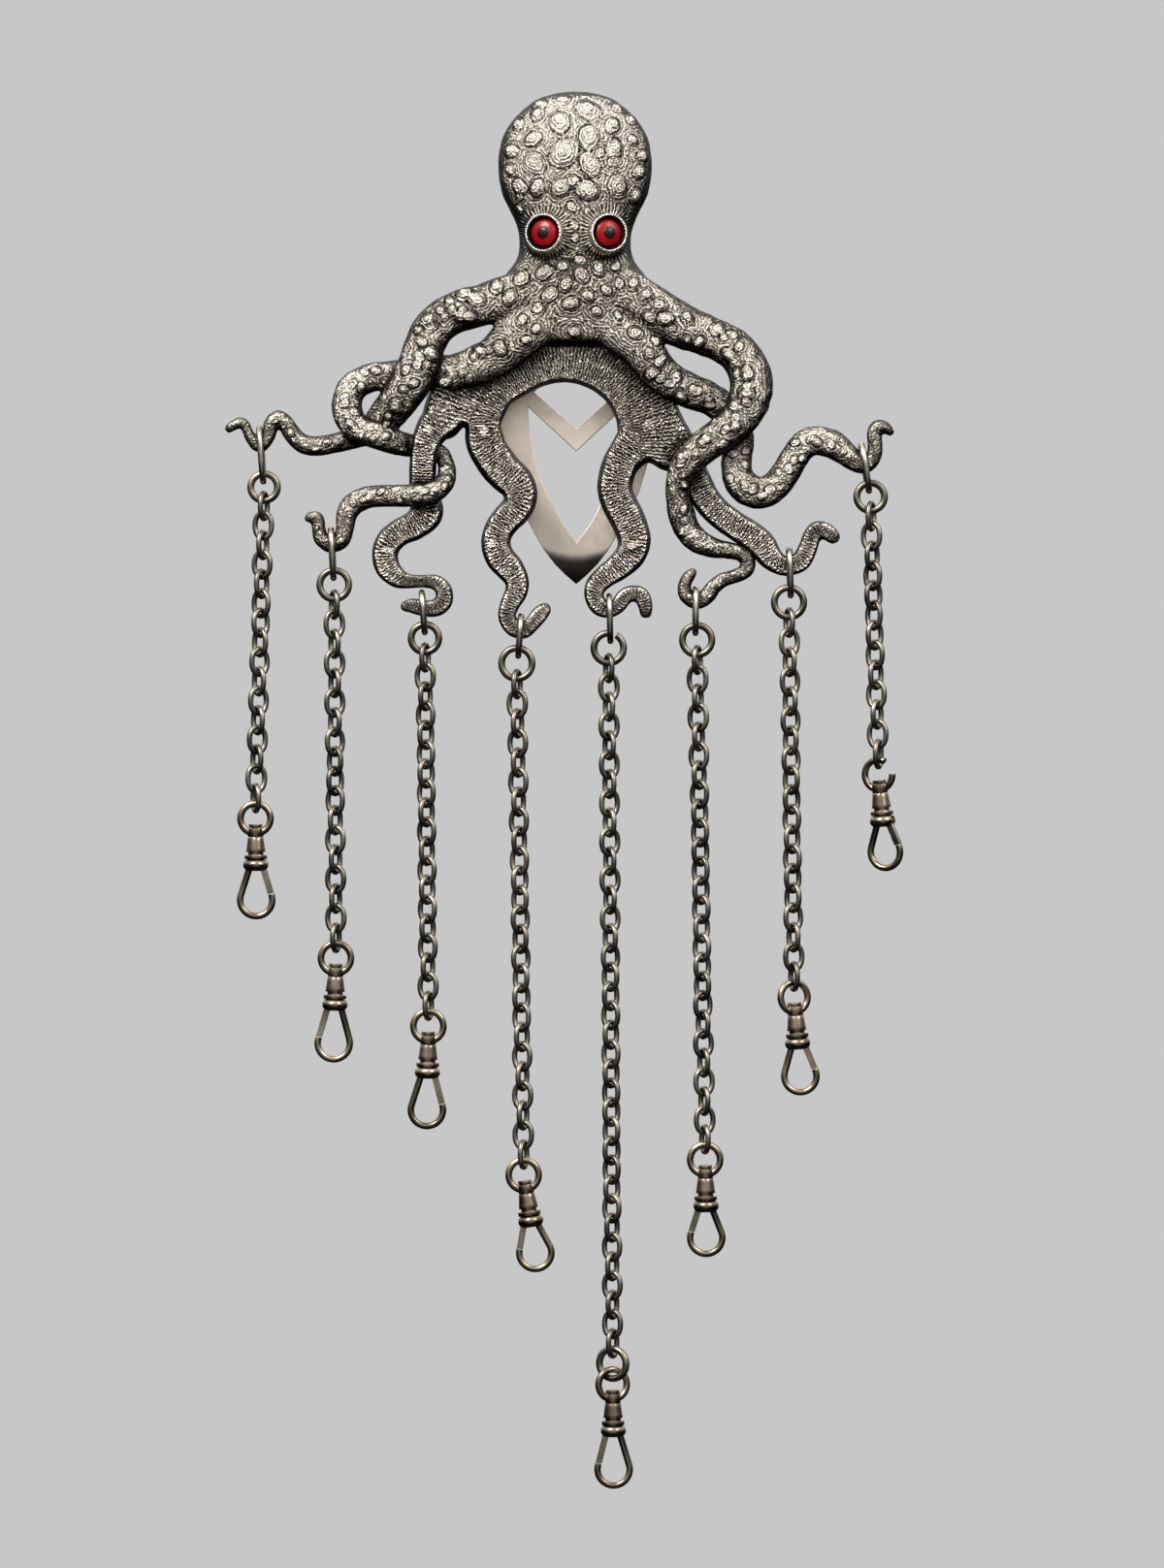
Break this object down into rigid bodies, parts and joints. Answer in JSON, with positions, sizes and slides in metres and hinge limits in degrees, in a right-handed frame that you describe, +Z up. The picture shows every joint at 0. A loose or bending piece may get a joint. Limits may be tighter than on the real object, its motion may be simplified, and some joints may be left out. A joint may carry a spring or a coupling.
{
  "type": "octopus chatelaine with hanging chains",
  "caption": "Silver octopus chatelaine with a belt hook behind it and a chain with a swivel clip hanging from each arm.",
  "frame": {"origin": "under the belt hook's bend, in the middle of the gap that the belt goes into", "axes": "+Z up, along the chains; front towards -Y; +X to the viewer's right"},
  "size_m": [0.1189, 0.0219, 0.245],
  "materials": {
    "octopus_silver": "oxidised silver, dark in the hollows and rubbed bright on the relief",
    "hook_plate": "satin silver sheet",
    "hanger_silver": "bright silver wire",
    "ring_silver": "oxidised silver wire",
    "chain_silver": "oxidised silver wire, rubbed bright on the outside",
    "clip_metal": "warm worn silver plate",
    "gate_metal": "worn spring metal",
    "red_glass": "deep red glass, polished",
    "black_glass": "black glass, polished"
  },
  "bodies": {
    "root": {"octopus": "octopus_silver", "belt_hook": "hook_plate", "eye_left": "red_glass", "eye_right": "red_glass", "pupil_left": "black_glass", "pupil_right": "black_glass", "extra_ring_5": "ring_silver", "hanger_1": "hanger_silver", "hanger_2": "hanger_silver", "hanger_3": "hanger_silver", "hanger_4": "hanger_silver", "hanger_5": "hanger_silver", "hanger_6": "hanger_silver", "hanger_7": "hanger_silver", "hanger_8": "hanger_silver", "top_ring_1": "ring_silver", "top_ring_2": "ring_silver", "top_ring_3": "ring_silver", "top_ring_4": "ring_silver", "top_ring_5": "ring_silver", "top_ring_6": "ring_silver", "top_ring_7": "ring_silver", "top_ring_8": "ring_silver", "chain_1": "chain_silver", "chain_2": "chain_silver", "chain_3": "chain_silver", "chain_4": "chain_silver", "chain_5": "chain_silver", "chain_6": "chain_silver", "chain_7": "chain_silver", "chain_8": "chain_silver", "clip_bow_1": "clip_metal", "clip_bow_2": "clip_metal", "clip_bow_3": "clip_metal", "clip_bow_4": "clip_metal", "clip_bow_5": "clip_metal", "clip_bow_6": "clip_metal", "clip_bow_7": "clip_metal", "clip_bow_8": "clip_metal"},
    "clip_1": {"clip_body_1": "clip_metal"},
    "gate_1": {"clip_gate_1": "gate_metal"},
    "clip_2": {"clip_body_2": "clip_metal"},
    "gate_2": {"clip_gate_2": "gate_metal"},
    "clip_3": {"clip_body_3": "clip_metal"},
    "gate_3": {"clip_gate_3": "gate_metal"},
    "clip_4": {"clip_body_4": "clip_metal"},
    "gate_4": {"clip_gate_4": "gate_metal"},
    "clip_5": {"clip_body_5": "clip_metal"},
    "gate_5": {"clip_gate_5": "gate_metal"},
    "clip_6": {"clip_body_6": "clip_metal"},
    "gate_6": {"clip_gate_6": "gate_metal"},
    "clip_7": {"clip_body_7": "clip_metal"},
    "gate_7": {"clip_gate_7": "gate_metal"},
    "clip_8": {"clip_body_8": "clip_metal"},
    "gate_8": {"clip_gate_8": "gate_metal"}
  },
  "joints": [
    {"name": "swivel_1", "type": "hinge", "parent": "root", "child": "clip_1", "pos_m": [-0.05618, -0.0066, -0.0893], "axis": [-0.0087, 0, 1], "continuous": true},
    {"name": "gate_1", "type": "hinge", "parent": "clip_1", "child": "gate_1", "pos_m": [-0.05498, -0.0066, -0.09569], "axis": [0, 1, 0], "range_deg": [0, 25], "stiffness_Nm_per_rad": 0.005},
    {"name": "swivel_2", "type": "hinge", "parent": "root", "child": "clip_2", "pos_m": [-0.04215, -0.0066, -0.1138], "axis": [0.0262, 0, 0.9997], "continuous": true},
    {"name": "gate_2", "type": "hinge", "parent": "clip_2", "child": "gate_2", "pos_m": [-0.04347, -0.0066, -0.12017], "axis": [0, -1, 0], "range_deg": [0, 25], "stiffness_Nm_per_rad": 0.005},
    {"name": "swivel_3", "type": "hinge", "parent": "root", "child": "clip_3", "pos_m": [-0.02593, -0.0066, -0.1257], "axis": [0.0175, 0, 0.9998], "continuous": true},
    {"name": "gate_3", "type": "hinge", "parent": "clip_3", "child": "gate_3", "pos_m": [-0.0249, -0.0066, -0.13212], "axis": [0, 1, 0], "range_deg": [0, 25], "stiffness_Nm_per_rad": 0.005},
    {"name": "swivel_4", "type": "hinge", "parent": "root", "child": "clip_4", "pos_m": [-0.00892, -0.0066, -0.15178], "axis": [-0.1478, 0, 0.989], "continuous": true},
    {"name": "gate_4", "type": "hinge", "parent": "clip_4", "child": "gate_4", "pos_m": [-0.00911, -0.0066, -0.15828], "axis": [0, -1, 0], "range_deg": [0, 25], "stiffness_Nm_per_rad": 0.005},
    {"name": "swivel_5", "type": "hinge", "parent": "root", "child": "clip_5", "pos_m": [0.00642, -0.0066, -0.1885], "axis": [-0.0105, 0, 0.9999], "continuous": true},
    {"name": "gate_5", "type": "hinge", "parent": "clip_5", "child": "gate_5", "pos_m": [0.00534, -0.0066, -0.19491], "axis": [0, -1, 0], "range_deg": [0, 25], "stiffness_Nm_per_rad": 0.005},
    {"name": "swivel_6", "type": "hinge", "parent": "root", "child": "clip_6", "pos_m": [0.02263, -0.0066, -0.1491], "axis": [-0.014, 0, 0.9999], "continuous": true},
    {"name": "gate_6", "type": "hinge", "parent": "clip_6", "child": "gate_6", "pos_m": [0.02157, -0.0066, -0.15551], "axis": [0, -1, 0], "range_deg": [0, 25], "stiffness_Nm_per_rad": 0.005},
    {"name": "swivel_7", "type": "hinge", "parent": "root", "child": "clip_7", "pos_m": [0.03835, -0.0066, -0.12059], "axis": [-0.0785, 0, 0.9969], "continuous": true},
    {"name": "gate_7", "type": "hinge", "parent": "clip_7", "child": "gate_7", "pos_m": [0.04, -0.0066, -0.12688], "axis": [0, 1, 0], "range_deg": [0, 25], "stiffness_Nm_per_rad": 0.005},
    {"name": "swivel_8", "type": "hinge", "parent": "root", "child": "clip_8", "pos_m": [0.05317, -0.0066, -0.08159], "axis": [-0.0872, 0, 0.9962], "continuous": true},
    {"name": "gate_8", "type": "hinge", "parent": "clip_8", "child": "gate_8", "pos_m": [0.05474, -0.00712, -0.08788], "axis": [0.4523, 0.891, 0.0396], "range_deg": [0, 25], "stiffness_Nm_per_rad": 0.005}
  ]
}
